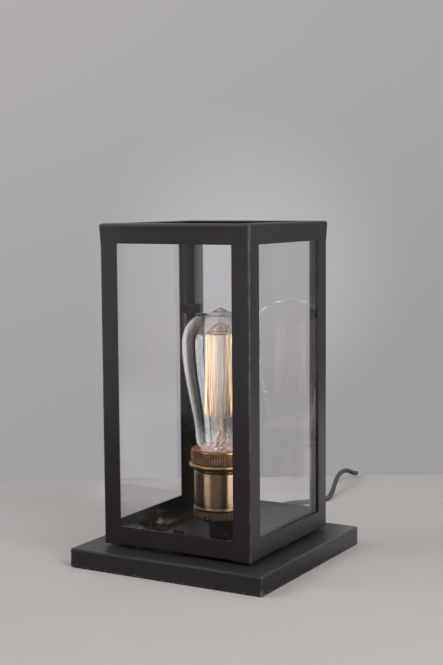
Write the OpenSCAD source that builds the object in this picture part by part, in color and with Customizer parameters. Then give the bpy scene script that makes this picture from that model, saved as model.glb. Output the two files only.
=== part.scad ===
// Lantern table lamp: an open-topped black steel lantern with four clear panes on a square
// plinth, and a squirrel-cage filament bulb in an antique brass screw holder.
// Millimetres, +Z up. The origin is the centre of the plinth's underside. The front is -Y,
// and the cord leaves at the back, +Y.

/* [Overall] */
// Height from the table to the top of the lantern
overall_height = 281; // [272:1:290]
// Side of the square plinth
base_side = 178; // [172:1:190]
// Height of the plinth with its felt
base_height = 16; // [15:0.5:18]
// Outer side of the lantern, over its corner posts
frame_side = 137; // [135:1:139]

/* [Lantern frame] */
// Leg of the steel angle that the posts and bottom rails are made of
angle_leg = 15.6; // [14.5:0.1:16]
// Thickness of the frame's steel
steel_thickness = 1.2; // [1:0.1:1.5]
// Outer radius of the folds
fold_radius = 1.6; // [1.6:0.1:2.4]
// Height of the pressed top frame
top_height = 16; // [14:0.5:17]
// Gap between the plinth and the lantern, filled by rubber washers
foot_gap = 2.5; // [2:0.5:3]
// Thickness of the glass panes
pane_thickness = 2; // [1.6:0.1:2.2]
// How far each pane reaches behind the posts
pane_overlap = 6.5; // [6:0.5:8]

/* [Bulb and holder] */
// Widest diameter of the bulb's glass
bulb_diameter = 65; // [62:0.5:66]
// Height of the bulb's tip above the table
bulb_top = 210; // [207:1:214]
// Outer radius of the smooth brass shell
shell_radius = 23.5; // [22.8:0.1:24]
// How far right of centre the holder stands
holder_x = 3; // [-3:0.5:3]
// How far behind the centre the holder stands
holder_y = 2; // [-3:0.5:3]
// Ridges round each knurled ring
knurl_count = 84; // [60:4:96]
// Hairpins of the filament cage
hairpins = 9; // [7:1:11]

/* [Cord] */
// Diameter of the round mains cord
cord_diameter = 4.6; // [4.4:0.1:4.8]
// Inner radius of the put-away coil, to the middle of the cord
coil_inner = 19; // [18:0.5:20]
// Loops in the coil; a half loop over brings its end round to the plug
coil_turns = 7.5; // [7.5]

/* [Hidden] */
$fn = 64;

// Plinth
felt_height = 1;
felt_inset = 0.8;
shell_wall = 1.2;
board_top = 12;
board_gap = 0.3;
board_screw_place = 70;
base_top = base_height;
plate_under = base_top - shell_wall;

// Lantern
half_frame = frame_side / 2;
inner_face = half_frame - steel_thickness;
frame_bottom = base_top + foot_gap;
rail_top = frame_bottom + angle_leg;
rail_floor = frame_bottom + steel_thickness;
top_side = frame_side + 2.4;
skirt_side = frame_side + 1;
skirt_bottom = overall_height - top_height;
top_under = overall_height - steel_thickness;
opening_side = frame_side - 2 * angle_leg + 1;
pane_gap = 0.2;
pane_outer = inner_face - pane_gap;
pane_inner = pane_outer - pane_thickness;
pane_half = half_frame - angle_leg + pane_overlap;
pane_bottom = rail_floor + 0.3;
pane_height = top_under - 1.2 - pane_bottom;
frame_screw_place = half_frame - 10;
clip_heights = [pane_bottom + 0.295 * pane_height, pane_bottom + 0.705 * pane_height];

// Corner clips: distances from the lantern's middle, along its diagonal
clip_ear = pane_inner - 0.05;
clip_edge = pane_half - 0.4;
clip_grip = 3.8;
clip_thickness = 0.8;
clip_flat = (clip_ear + clip_edge - 0.6) / sqrt(2);
boss_start = clip_flat + 0.3;
boss_end = sqrt(2) * inner_face - 1.2;
boss_radius = 2.4;
corner_screw_radius = 1.5;

// Holder, in heights above the table
neck_top = base_top + 18.5;
lower_ring_top = neck_top + 8;
shell_top = lower_ring_top + 32.5;
shade_ring_bottom = shell_top + 0.8;
shade_ring_top = shade_ring_bottom + 17;
nipple_radius = 5;
terminal_place = 11;
core_top = shell_top - 17.5;
screw_shell_top = core_top + 25;

// Bulb, in heights above the table: an ST shape on a 26 mm screw cap
bulb_radius = bulb_diameter / 2;
contact_bottom = core_top + 1.9;
insulator_bottom = contact_bottom + 1.5;
cap_bottom = insulator_bottom + 2.3;
cap_top = cap_bottom + 19.5;
cap_radius = 13;
glass_wall = 0.8;
cage_bottom = bulb_top - 89;
cage_top = bulb_top - 21.5;
cage_bottom_radius = 13.8;
cage_top_radius = 11.6;
stem_top = bulb_top - 102;

// Cord
cord_radius = cord_diameter / 2;
entry_z = 7.5;
relief_length = 24;
relief_end = base_side / 2 + relief_length;
// Hand-laid route: out of the plinth, along the table, in a long low hump, and through the switch
cord_route = [
    [0, 74, entry_z], [0, 84, entry_z], [0, 94, entry_z], [0, 104, entry_z], [0, 114, entry_z],
    [-2, 125, 6.8], [-7, 136, 5.2], [-14, 146, 3.6], [-21, 155, 2.6], [-27, 164, 2.3],
    [-31, 174, 2.3], [-31.5, 184, 2.3], [-27, 194, 2.3], [-19, 203, 2.3], [-11.5, 212, 2.3],
    [-7, 222, 2.3], [-6.5, 233, 2.3], [-9, 244, 3], [-12, 255, 4.9], [-16, 267, 7.3],
    [-19.5, 279, 9.8], [-23, 292, 11.8], [-25.5, 304, 12.6], [-27, 315, 12.2], [-28, 325, 10.6],
    [-28.5, 334, 7.8], [-29, 343, 4.8], [-29.5, 352, 2.8], [-30, 362, 2.3], [-30, 372, 2.9],
    [-30, 382, 4.5], [-30, 391, 5.7], [-30, 400, 6], [-30, 412, 6], [-30, 424, 6],
    [-30, 436, 6], [-30, 448, 6], [-30, 458, 5.6], [-30, 468, 4.5], [-30, 478, 3.5],
    [-30, 488, 3.2], [-30, 494, 3.2]
];

// Coil: loops spiral in on the lower layer and out again on the upper one
coil_pitch = 5.1;
coil_low = 3.2;
coil_high = coil_low + coil_pitch;
coil_outer = coil_inner + coil_pitch * coil_turns / 2;
coil_x = -30 + coil_outer;
coil_y = 500;
coil_half_angle = 180 * coil_turns;
coil_step = 15;
plug_end = coil_y - 10;
tie_angle = 90;

// Switch on the cord
switch_x = -30;
switch_y = 424;
switch_z = 6;
switch_length = 48;
switch_width = 22;
switch_height = 17;
rocker_z = 13.6;
rocker_tilt = 8;

// Plug
plug_x = coil_x + coil_outer;
plug_z = coil_high;
plug_boot = 16;
plug_length = 26;
plug_width = 24;
blade_length = 17;
blade_spacing = 12.7;

// ---------------------------------------------------------------- helpers

function unit(v) = v / norm(v);

function bezier(a, b, c, d, n) = [
    for (i = [0 : n])
        let (t = i / n, s = 1 - t)
        s * s * s * a + 3 * s * s * t * b + 3 * s * t * t * c + t * t * t * d
];

// Direction of a path at point i
function heading(path, i) =
    unit(path[min(i + 1, len(path) - 1)] - path[max(i - 1, 0)]);

// Points of one ring of a tube, square to the path; beside is any direction off the path
function tube_ring(path, i, radius, sides, beside) =
    let (
        ahead = heading(path, i),
        across = unit(cross(beside, ahead)),
        above = cross(ahead, across)
    )
    [for (k = [0 : sides - 1])
        path[i] + radius * (cos(360 * k / sides) * across + sin(360 * k / sides) * above)];

// One closed tube along a path, made of triangles
module tube(path, radius, sides, besides) {
    last = len(path) - 1;
    rings = [for (i = [0 : last]) each tube_ring(path, i, radius, sides, besides[i])];
    start_cap = [for (k = [1 : sides - 2]) [0, k, k + 1]];
    end_cap = [for (k = [1 : sides - 2]) [last * sides, last * sides + k + 1, last * sides + k]];
    walls = [
        for (i = [0 : last - 1], k = [0 : sides - 1])
            let (a = i * sides + k, b = i * sides + (k + 1) % sides)
            each [[a, b + sides, b], [a, a + sides, b + sides]]
    ];
    polyhedron(points = rings, faces = concat(start_cap, walls, end_cap), convexity = 10);
}

// The same direction beside every point of a path
function same_beside(path, direction) = [for (p = path) direction];

// A square with one rounded corner at the origin
module corner_square(side_x, side_y, radius) {
    translate([radius, 0]) square([side_x - radius, side_y]);
    translate([0, radius]) square([side_x, side_y - radius]);
    translate([radius, radius]) circle(radius);
}

// Section of folded steel angle, its outer corner at the origin
module angle_section(leg_x, leg_y) {
    difference() {
        corner_square(leg_x, leg_y, fold_radius);
        translate([steel_thickness, steel_thickness])
            corner_square(leg_x, leg_y, fold_radius - steel_thickness);
    }
}

// A centred square with rounded corners
module rounded_square(side, radius) {
    square([side - 2 * radius, side], center = true);
    square([side, side - 2 * radius], center = true);
    for (x = [-1, 1], y = [-1, 1])
        translate([x, y] * (side / 2 - radius)) circle(radius);
}

// A slab of the rounded square, for the pressed shells
module slab(side, radius, z) {
    translate([0, 0, z]) linear_extrude(0.01) rounded_square(side, radius, $fn = 32);
}

// A pressed box, open below: its sides lean in towards the bottom and its top edge is rounded
module pressed_box(bottom_side, side, corner, edge, low, high) {
    lean = edge * (1 - cos(45));
    hull() {
        slab(bottom_side, corner, low);
        slab(side, corner, high - edge);
        slab(side - 2 * lean, corner, high - lean);
        slab(side - 2 * edge, corner, high - 0.01);
    }
}

// Places a child at the middle of each side of the lantern
module on_each_side(distance) {
    for (i = [0 : 3]) rotate([0, 0, 90 * i]) translate([0, -distance, 0]) children();
}

// Places a child on the axis of the holder
module on_holder() {
    translate([holder_x, holder_y, 0]) children();
}

// A knurled disc: triangular ridges all round
module knurled_disc(radius, depth) {
    polygon([
        for (i = [0 : 2 * knurl_count - 1])
            let (angle = 180 * i / knurl_count, r = i % 2 == 0 ? radius : radius - depth)
            r * [cos(angle), sin(angle)]
    ]);
}

// ---------------------------------------------------------------- plinth

module felt_pad() {
    color("saddlebrown")
        linear_extrude(felt_height) rounded_square(base_side - 2 * felt_inset, 1.5);
}

module base_board() {
    side = base_side - 2 * shell_wall - 2 * board_gap;
    color("tan") difference() {
        translate([0, 0, felt_height])
            linear_extrude(board_top - felt_height) rounded_square(side, 1.5);
        // room for the nipple nut, and a channel for the cord
        translate([holder_x, holder_y, 0]) cylinder(r = 20, h = board_top + 1);
        translate([-7, 0, 0]) cube([14, base_side, board_top + 1]);
        for (x = [-1, 1], y = [-1, 1])
            translate([x * board_screw_place, y * board_screw_place, 0]) {
                cylinder(r = 2.2, h = board_top + 1);
                translate([0, 0, felt_height]) cylinder(r1 = 4, r2 = 2.2, h = 2.4);
            }
        on_each_side(frame_screw_place)
            translate([0, 0, board_top - 7]) cylinder(r = 6, h = 8);
    }
}

module board_screws() {
    color("silver") for (x = [-1, 1], y = [-1, 1])
        translate([x * board_screw_place, y * board_screw_place, felt_height]) {
            cylinder(r1 = 3.8, r2 = 2, h = 2.3);
            cylinder(r = 2, h = plate_under - felt_height - 0.3);
        }
}

module base_shell() {
    color([0.13, 0.12, 0.13]) difference() {
        union() {
            difference() {
                pressed_box(base_side, base_side, 1.5, 1.4, felt_height, base_top);
                linear_extrude(plate_under)
                    rounded_square(base_side - 2 * shell_wall, 0.6, $fn = 32);
            }
            // weld nuts that the board is screwed up to
            for (x = [-1, 1], y = [-1, 1])
                translate([x * board_screw_place, y * board_screw_place, board_top])
                    cylinder(r = 4.5, h = plate_under - board_top + 0.2);
        }
        for (x = [-1, 1], y = [-1, 1])
            translate([x * board_screw_place, y * board_screw_place, board_top - 1])
                cylinder(r = 2, h = plate_under - board_top + 1);
        translate([holder_x, holder_y, base_top - 4]) cylinder(r = nipple_radius, h = 5);
        on_each_side(frame_screw_place)
            translate([0, 0, base_top - 4]) cylinder(r = 2.1, h = 5);
        translate([0, base_side / 2 - 4, entry_z]) rotate([-90, 0, 0]) cylinder(r = 4.2, h = 5);
    }
}

// ---------------------------------------------------------------- lantern

module frame_spacers() {
    color([0.08, 0.08, 0.08]) on_each_side(frame_screw_place)
        translate([0, 0, base_top]) difference() {
            cylinder(r = 7, h = foot_gap);
            translate([0, 0, -1]) cylinder(r = 2.1, h = foot_gap + 2);
        }
}

module frame_nuts() {
    color("silver") on_each_side(frame_screw_place)
        translate([0, 0, plate_under - 3.2]) difference() {
            cylinder(r = 4.04, h = 3.2, $fn = 6);
            translate([0, 0, -1]) cylinder(r = 2, h = 6);
        }
}

// A folded steel corner post; turn counts the quarter turns from the front left corner
module post(turn) {
    color([0.14, 0.13, 0.15]) rotate([0, 0, 90 * turn]) difference() {
        union() {
            translate([-half_frame, -half_frame, frame_bottom])
                linear_extrude(top_under - frame_bottom) angle_section(angle_leg, angle_leg);
            // threaded bosses for the corner screws, welded into the fold
            for (z = clip_heights)
                rotate([0, 0, 225]) translate([boss_start, 0, z]) rotate([0, 90, 0])
                    cylinder(r = boss_radius, h = boss_end - boss_start);
        }
        for (z = clip_heights)
            rotate([0, 0, 225]) translate([boss_start - 1, 0, z]) rotate([0, 90, 0])
                cylinder(r = corner_screw_radius, h = boss_end - boss_start + 0.4);
    }
}

module post_front_left() { post(0); }
module post_front_right() { post(1); }
module post_back_right() { post(2); }
module post_back_left() { post(3); }

// A bottom rail: angle between the posts, with mitred feet that run on under the panes
module rail(turn) {
    between = half_frame - angle_leg;
    mitre = inner_face - (fold_radius - steel_thickness);
    foot = inner_face - (angle_leg - steel_thickness);
    color([0.14, 0.13, 0.15]) rotate([0, 0, 90 * turn]) difference() {
        union() {
            translate([-between, -half_frame, frame_bottom])
                rotate([90, 0, 90]) linear_extrude(2 * between)
                    angle_section(angle_leg, angle_leg);
            for (side = [0, 1]) mirror([side, 0, 0])
                translate([0, 0, frame_bottom]) linear_extrude(steel_thickness)
                    polygon([
                        [between, -inner_face], [mitre, -inner_face], [mitre, -mitre],
                        [foot, -foot], [between, -foot]
                    ]);
        }
        translate([0, -frame_screw_place, frame_bottom - 1]) cylinder(r = 2.1, h = 4);
    }
}

module rail_front() { rail(0); }
module rail_right() { rail(1); }
module rail_back() { rail(2); }
module rail_left() { rail(3); }

module top_frame() {
    color([0.14, 0.13, 0.15]) difference() {
        pressed_box(skirt_side, top_side, 3, 1.8, skirt_bottom, overall_height);
        translate([0, 0, skirt_bottom - 1])
            linear_extrude(top_under - skirt_bottom + 1)
                rounded_square(frame_side + 0.1, fold_radius, $fn = 32);
        linear_extrude(overall_height + 1) rounded_square(opening_side, 1.5, $fn = 32);
    }
}

module pane(turn) {
    color([0.8, 0.9, 0.9, 0.3]) rotate([0, 0, 90 * turn])
        translate([-pane_half, -pane_outer, pane_bottom])
            cube([2 * pane_half, pane_thickness, pane_height]);
}

module pane_front() { pane(0); }
module pane_right() { pane(1); }
module pane_back() { pane(2); }
module pane_left() { pane(3); }

// Bent clip on each rail: a foot under the screw and a sprung arm that presses on the pane
module rail_clips() {
    arm = pane_inner - 0.1;
    color([0.1, 0.09, 0.09]) for (i = [0 : 3]) rotate([0, 0, 90 * i]) difference() {
        translate([-4.5, 0, rail_floor]) rotate([90, 0, 90]) linear_extrude(9)
            polygon([
                [-frame_screw_place + 4.6, 0], [-frame_screw_place + 4.6, 0.9],
                [-frame_screw_place - 4.4, 0.9], [-arm + 1.4, 6], [-arm + 1, 12],
                [-arm + 2.2, 16], [-arm + 1.3, 16.3], [-arm, 12], [-arm + 0.5, 5.6],
                [-frame_screw_place - 5.1, 0]
            ]);
        translate([0, -frame_screw_place, rail_floor - 1]) cylinder(r = 2.1, h = 4);
    }
}

module rail_washers() {
    color("silver") on_each_side(frame_screw_place)
        translate([0, 0, rail_floor + 0.9]) difference() {
            cylinder(r = 4.2, h = 0.8);
            translate([0, 0, -1]) cylinder(r = 2.1, h = 3);
        }
}

// Pan head screws that hold the clip, the rail and the spacer down to the plinth
module rail_screws() {
    head = rail_floor + 1.7;
    color("silver") on_each_side(frame_screw_place) {
        translate([0, 0, plate_under - 4]) cylinder(r = 2, h = head - plate_under + 4.2);
        translate([0, 0, head]) difference() {
            rotate_extrude() polygon([
                [0, 0], [3.9, 0], [3.9, 0.9], [3.5, 1.7], [2.6, 2.2], [1.4, 2.5], [0, 2.6]
            ]);
            for (a = [0, 90]) rotate([0, 0, a])
                translate([-2.1, -0.4, 1.5]) cube([4.2, 0.8, 2]);
        }
    }
}

// A corner clip seen from above: two ears on the panes and a flat across the corner
module corner_clip_section() {
    outer = clip_edge - 0.6;
    inner = clip_edge - 0.9;
    end = clip_edge - clip_grip;
    inside = clip_ear - clip_thickness;
    polygon([
        [end, clip_ear], [outer, clip_ear], [clip_ear, outer], [clip_ear, end],
        [inside, end], [inside, inner], [inner, inside], [end, inside]
    ]);
}

module corner_clips() {
    color([0.16, 0.12, 0.09]) for (i = [0 : 3], z = clip_heights)
        rotate([0, 0, 90 * i]) difference() {
            translate([0, 0, z - 4]) linear_extrude(8) corner_clip_section();
            rotate([0, 0, 45]) translate([clip_flat - 4, 0, z]) rotate([0, 90, 0])
                cylinder(r = corner_screw_radius + 0.1, h = 6);
        }
}

module corner_screws() {
    seat = clip_flat - clip_thickness;
    tip = boss_end - 1;
    color([0.2, 0.18, 0.17]) for (i = [0 : 3], z = clip_heights)
        rotate([0, 0, 90 * i + 45]) translate([0, 0, z]) rotate([0, 90, 0]) {
            translate([0, 0, seat]) cylinder(r = corner_screw_radius, h = tip - seat);
            translate([0, 0, seat - 1.8]) rotate_extrude() polygon([
                [0, 0], [1.6, 0.1], [2.5, 0.6], [2.8, 1.2], [2.8, 1.8], [0, 1.8]
            ]);
        }
}

// ---------------------------------------------------------------- holder

module nipple() {
    color("silver") on_holder() difference() {
        translate([0, 0, base_top - 6.5]) cylinder(r = nipple_radius, h = neck_top - base_top + 9.5);
        cylinder(r = 3.6, h = neck_top + 10);
    }
}

module nipple_nut() {
    color("goldenrod") on_holder() translate([0, 0, plate_under - 5]) difference() {
        cylinder(r = 8.1, h = 4, $fn = 6);
        translate([0, 0, -1]) cylinder(r = nipple_radius, h = 6);
    }
}

module nipple_washer() {
    color("silver") on_holder() translate([0, 0, plate_under - 1]) difference() {
        cylinder(r = 9, h = 1);
        translate([0, 0, -1]) cylinder(r = nipple_radius, h = 3);
    }
}

// Dark bell-shaped neck between the plinth and the brass
module holder_neck() {
    height = neck_top - base_top;
    flare = bezier([10.7, 10.5], [11, 15], [19, 14], [22.4, height - 1], 8);
    color([0.16, 0.11, 0.07]) on_holder() translate([0, 0, base_top]) rotate_extrude()
        polygon(concat(
            [[nipple_radius, 0], [11.9, 0], [11.9, 1], [10.8, 2.2]],
            flare,
            [[22.4, height], [nipple_radius, height]]
        ));
}

module lower_ring() {
    color([0.45, 0.35, 0.22]) on_holder() difference() {
        union() {
            translate([0, 0, neck_top + 0.8])
                linear_extrude(lower_ring_top - neck_top - 1.4) knurled_disc(shell_radius + 1, 0.5);
            translate([0, 0, neck_top]) cylinder(r1 = shell_radius - 0.3, r2 = shell_radius + 0.4, h = 0.8);
            translate([0, 0, lower_ring_top - 0.6]) cylinder(r = shell_radius + 0.4, h = 0.6);
        }
        translate([0, 0, neck_top + 2]) cylinder(r = shell_radius - 2.7, h = 10);
        translate([0, 0, neck_top - 1]) cylinder(r = nipple_radius, h = 4);
    }
}

// Smooth satin shell with a rolled bead at its foot and a groove below the shade ring
module holder_shell() {
    r = shell_radius;
    color([0.58, 0.47, 0.32]) on_holder() rotate_extrude() polygon([
        [r - 1.5, lower_ring_top], [r + 0.5, lower_ring_top], [r + 0.6, lower_ring_top + 0.7],
        [r + 0.1, lower_ring_top + 1.2], [r + 0.4, lower_ring_top + 1.7],
        [r, lower_ring_top + 2.3], [r, shell_top - 1.6], [r - 0.5, shell_top - 0.8],
        [r - 1.2, shell_top], [r - 1.2, shade_ring_top - 3], [r - 2.2, shade_ring_top - 3],
        [r - 2.2, lower_ring_top + 3], [r - 1.5, lower_ring_top + 2]
    ]);
}

// Knurled shade ring with a flared lip below and a smooth collar above
module shade_ring() {
    r = shell_radius + 3;
    low = shade_ring_bottom;
    high = shade_ring_top;
    color([0.42, 0.31, 0.19]) on_holder() difference() {
        union() {
            rotate_extrude() polygon([
                [r - 6, low], [r - 1.6, low], [r - 0.2, low + 0.9], [r + 0.7, low + 2.4],
                [r + 0.9, low + 3.6], [r + 0.3, low + 4.6], [r - 1, low + 5.2], [r - 6, low + 5.2]
            ]);
            translate([0, 0, low + 5.2])
                linear_extrude(high - low - 7) knurled_disc(r - 0.4, 0.5);
            rotate_extrude() polygon([
                [r - 7, high - 1.8], [r - 1.1, high - 1.8], [r - 1.2, high - 0.7],
                [r - 1.9, high], [r - 3.6, high], [r - 7, high - 0.8]
            ]);
        }
        translate([0, 0, low - 1]) cylinder(r = shell_radius - 1.2, h = high - low - 2);
        translate([0, 0, low]) cylinder(r = shell_radius - 2.4, h = high - low + 1);
    }
}

module holder_core() {
    pocket_top = lower_ring_top + 3;
    color("ivory") on_holder() difference() {
        union() {
            translate([0, 0, lower_ring_top]) cylinder(r = shell_radius - 2.2, h = core_top - lower_ring_top);
            translate([0, 0, core_top]) cylinder(r = 17, h = 6);
        }
        translate([0, 0, core_top]) cylinder(r = 14.4, h = 7);
        // pockets below for the terminal screws
        for (x = [-terminal_place, terminal_place]) {
            translate([x, 0, lower_ring_top - 1]) cylinder(r = 3.4, h = 4);
            translate([x, 0, pocket_top - 1]) cylinder(r = 1.5, h = 5);
        }
    }
}

// Screw shell that takes the bulb's cap
module screw_shell() {
    color([0.78, 0.63, 0.33]) on_holder() difference() {
        translate([0, 0, core_top]) cylinder(r = 14.4, h = screw_shell_top - core_top);
        translate([0, 0, core_top + 0.6]) cylinder(r = 13.6, h = screw_shell_top - core_top);
        translate([0, 0, core_top - 1]) cylinder(r = 6, h = 3);
    }
}

// Sprung tongue below the bulb's contact
module centre_contact() {
    color([0.78, 0.63, 0.33]) on_holder() translate([-2.5, 0, core_top])
        rotate([90, 0, 90]) linear_extrude(5) polygon([
            [-5, 0], [-3, 0], [2.2, 1.2], [3.6, 1.2], [3.6, 1.8], [2, 1.8], [-3.2, 0.6], [-5, 0.6]
        ]);
}

module terminal_screws() {
    color("silver") on_holder() for (x = [-terminal_place, terminal_place])
        translate([x, 0, lower_ring_top]) {
            cylinder(r = 1.5, h = 6.5);
            cylinder(r = 2.9, h = 1.6);
        }
}

// A wire from its terminal, down through the nipple and along the channel to the cord
module wire(side) {
    x = holder_x;
    y = holder_y;
    path = [
        [x + side * terminal_place, y, lower_ring_top - 1], [x + side * 8, y, lower_ring_top - 1.4],
        [x + side * 4, y, lower_ring_top - 2.4], [x + side * 1.9, y, lower_ring_top - 4.4],
        [x + side * 1.5, y, lower_ring_top - 7], [x + side * 1.5, y, base_top + 8],
        [x + side * 1.5, y, base_top - 3], [x + side * 1.5, y + 0.6, base_top - 5.6],
        [x + side * 1.5, y + 2.4, base_top - 7.6], [x + side * 1.5, y + 5.4, entry_z],
        [x + side * 1.5, y + 12, entry_z], [side * 1.3, 56, entry_z], [side * 1.2, 66, entry_z],
        [side * 1.2, 74, entry_z]
    ];
    tube(path, 1, 8, same_beside(path, [1, 0, 0]));
}

module wire_live() { color([0.1, 0.1, 0.1]) wire(1); }
module wire_neutral() { color("white") wire(-1); }

// ---------------------------------------------------------------- bulb

module bulb_contact() {
    color("silver") on_holder() rotate_extrude() polygon([
        [0, contact_bottom], [2.6, contact_bottom + 0.2], [4.2, contact_bottom + 0.8],
        [4.8, insulator_bottom - 0.1], [0, insulator_bottom - 0.1]
    ]);
}

module bulb_insulator() {
    color([0.05, 0.05, 0.07]) on_holder() rotate_extrude() polygon([
        [0, insulator_bottom], [5.2, insulator_bottom], [9.6, cap_bottom - 0.4],
        [9.6, cap_bottom + 1], [0, cap_bottom + 1]
    ]);
}

// Screw cap: a thin brass shell with rounded thread ridges
module bulb_cap() {
    pitch = 3.629;
    ridges = 4;
    thread_low = cap_bottom + 2.6;
    outline = [
        for (i = [0 : 8 * ridges])
            [cap_radius - 0.45 - 0.45 * cos(45 * i), thread_low + pitch * i / 8]
    ];
    color([0.8, 0.66, 0.36]) on_holder() rotate_extrude() polygon(concat(
        [[9.6, cap_bottom - 0.4], [11, cap_bottom], [cap_radius - 0.9, cap_bottom + 1.6]],
        outline,
        [
            [cap_radius - 0.3, cap_top], [cap_radius - 1.6, cap_top],
            [cap_radius - 1.6, cap_bottom + 3], [9.6, cap_bottom + 1]
        ]
    ));
}

// Outline of the glass from the cap up to the tip; inset draws it that far inside
function glass_outline(inset) =
    let (
        r = bulb_radius - inset,
        neck = cap_radius - 1.7 - inset,
        shoulder = bulb_radius - 10.8 - inset,
        top = bulb_top - inset
    )
    concat(
        [[neck, cap_top - 3]],
        bezier([neck, cap_top], [neck, cap_top + 2.6], [shoulder - 0.9, bulb_top - 120],
               [shoulder, bulb_top - 109], 9),
        bezier([shoulder + 0.3, bulb_top - 103], [shoulder + 1.3, bulb_top - 90],
               [r - 1.3, bulb_top - 59], [r, bulb_top - 35], 14),
        bezier([r, bulb_top - 31], [r + 0.3, bulb_top - 18], [r - 5.5, top - 5.7],
               [11.4, top - 4.2], 14),
        bezier([7.6, top - 3.4], [4.6, top - 2.6], [3.2, top], [0, top], 6)
    );

module bulb_glass() {
    outer = glass_outline(0);
    inner = glass_outline(glass_wall);
    color([0.95, 0.95, 0.9, 0.3]) on_holder() rotate_extrude(convexity = 4)
        polygon(concat(outer, [for (i = [len(inner) - 1 : -1 : 0]) inner[i]]));
}

// Glass mount: a flare sealed at the neck, a pinched stem and a rod up to the cage
module bulb_stem() {
    low = cap_top - 1;
    color([0.9, 0.92, 0.9, 0.5]) on_holder() rotate_extrude() polygon(concat(
        [[0, low - 1], [9, low - 1.6], [10.3, low - 1.2]],
        bezier([10, low + 1], [7, low + 5], [4.6, low + 10], [3.8, stem_top - 3], 8),
        [[3.4, stem_top - 0.8], [2, stem_top], [1, stem_top + 1]],
        [[1, cage_top + 3.4], [1.9, cage_top + 4.4], [1.9, cage_top + 5.4], [0, cage_top + 6]]
    ));
}

// Angle of hairpin i round the cage
function hairpin_angle(i) = 360 * i / hairpins;

// A point of the cage at an angle, radius and height
function cage_point(angle, radius, z) =
    [holder_x + radius * cos(angle), holder_y + radius * sin(angle), z];

// The filament's path: up from one lead wire, over and under the hooks, down to the other lead
bend = 0.82;
bend_top = asin(bend / cage_top_radius);
bend_foot = asin(bend / cage_bottom_radius);
filament_path = [
    for (i = [0 : hairpins - 1])
        let (
            top = hairpin_angle(i),
            foot = top + 180 / hairpins,
            before = top - 180 / hairpins
        )
        each concat(
            [cage_point(before + bend_foot, cage_bottom_radius, cage_bottom + bend)],
            [
                cage_point(top - bend_top, cage_top_radius, cage_top - bend),
                cage_point(top, cage_top_radius, cage_top),
                cage_point(top + bend_top, cage_top_radius, cage_top - bend)
            ],
            [cage_point(foot - bend_foot, cage_bottom_radius, cage_bottom + bend)],
            i == hairpins - 1 ? [] : [cage_point(foot, cage_bottom_radius, cage_bottom)]
        )
];

module filament() {
    outward = [for (p = filament_path) [p.x - holder_x, p.y - holder_y, 0]];
    color("orange") tube(filament_path, 0.35, 6, outward);
}

// A straight wire between two points
module strut(a, b, radius) {
    d = b - a;
    translate(a) rotate([0, acos(d.z / norm(d)), atan2(d.y, d.x)])
        cylinder(r = radius, h = norm(d), $fn = 6);
}

// Hooks that fan out from the stem to the top and foot of the cage, and the two lead wires
module filament_supports() {
    hook = 0.22;
    reach = 0.6;
    gap_end = -180 / hairpins;
    color("dimgray") {
        for (i = [0 : hairpins - 1])
            strut(
                cage_point(hairpin_angle(i), 1.7, cage_top + 4.6),
                cage_point(hairpin_angle(i), cage_top_radius + reach, cage_top - 0.96), hook
            );
        for (i = [0 : hairpins - 2])
            strut(
                cage_point(hairpin_angle(i + 0.5), 0.8, cage_bottom - 3),
                cage_point(hairpin_angle(i + 0.5), cage_bottom_radius + reach, cage_bottom + 0.8),
                hook
            );
        for (side = [-1, 1])
            strut(
                cage_point(gap_end + 40 * side, 2.2, stem_top - 2),
                filament_path[side < 0 ? len(filament_path) - 1 : 0], 0.3
            );
    }
}

// ---------------------------------------------------------------- cord

// Rubber strain relief: a flanged barrel through the plinth's back and a ribbed, tapered boot
module strain_relief() {
    bore = cord_radius;
    ribs = 4;
    rib_pitch = 4.6;
    ribbed = [
        for (i = [0 : ribs - 1])
            let (y = 3.4 + i * rib_pitch, r = 5.2 - 0.42 * i)
            each [[r, y], [r, y + 2.6], [r - 1, y + 3], [r - 1, y + 4.2]]
    ];
    color([0.07, 0.07, 0.07])
        translate([0, base_side / 2, entry_z]) rotate([-90, 0, 0]) rotate_extrude()
            polygon(concat(
                [
                    [bore, -3.4], [5.8, -3.4], [5.8, -shell_wall], [4.2, -shell_wall],
                    [4.2, 0], [6, 0], [6, 1.8], [5.4, 2.6]
                ],
                ribbed,
                [[3.6, relief_length - 1.6], [3.3, relief_length], [bore, relief_length]]
            ));
}

module cord() {
    color([0.2, 0.2, 0.22]) tube(cord_route, cord_radius, 10, same_beside(cord_route, [0, 0, 1]));
}

// A point of the coil, turned by angle from the middle of its climb
function coil_point(angle) =
    let (
        radius = coil_inner + coil_pitch * abs(angle) / 360,
        climb = angle <= -90 ? 0 : angle >= 90 ? 1 : (1 - cos(angle + 90)) / 2,
        place = 180 - coil_half_angle - angle
    )
    [
        coil_x + radius * cos(place), coil_y + radius * sin(place),
        coil_low + climb * (coil_high - coil_low)
    ];

wound = [for (angle = [-coil_half_angle : coil_step : coil_half_angle]) coil_point(angle)];
coil_path = concat(
    [[coil_x - coil_outer, coil_y - 6, coil_low], [coil_x - coil_outer, coil_y - 1.4, coil_low]],
    wound,
    [[coil_x + coil_outer, coil_y - 5.4, coil_high], [coil_x + coil_outer, plug_end, coil_high]]
);

// Least distance between loops of the coil, less the cord's diameter
half_loop = 180 / coil_step;
coil_gap = min([
    for (i = [0 : len(wound) - 1], j = [0 : len(wound) - 1])
        if (j - i > half_loop) norm(wound[i] - wound[j])
]) - cord_diameter;

module cord_coil() {
    echo(str("least gap of the coil to itself, mm: ", coil_gap));
    color([0.2, 0.2, 0.22]) tube(coil_path, cord_radius, 6, same_beside(coil_path, [0, 0, 1]));
}

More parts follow.
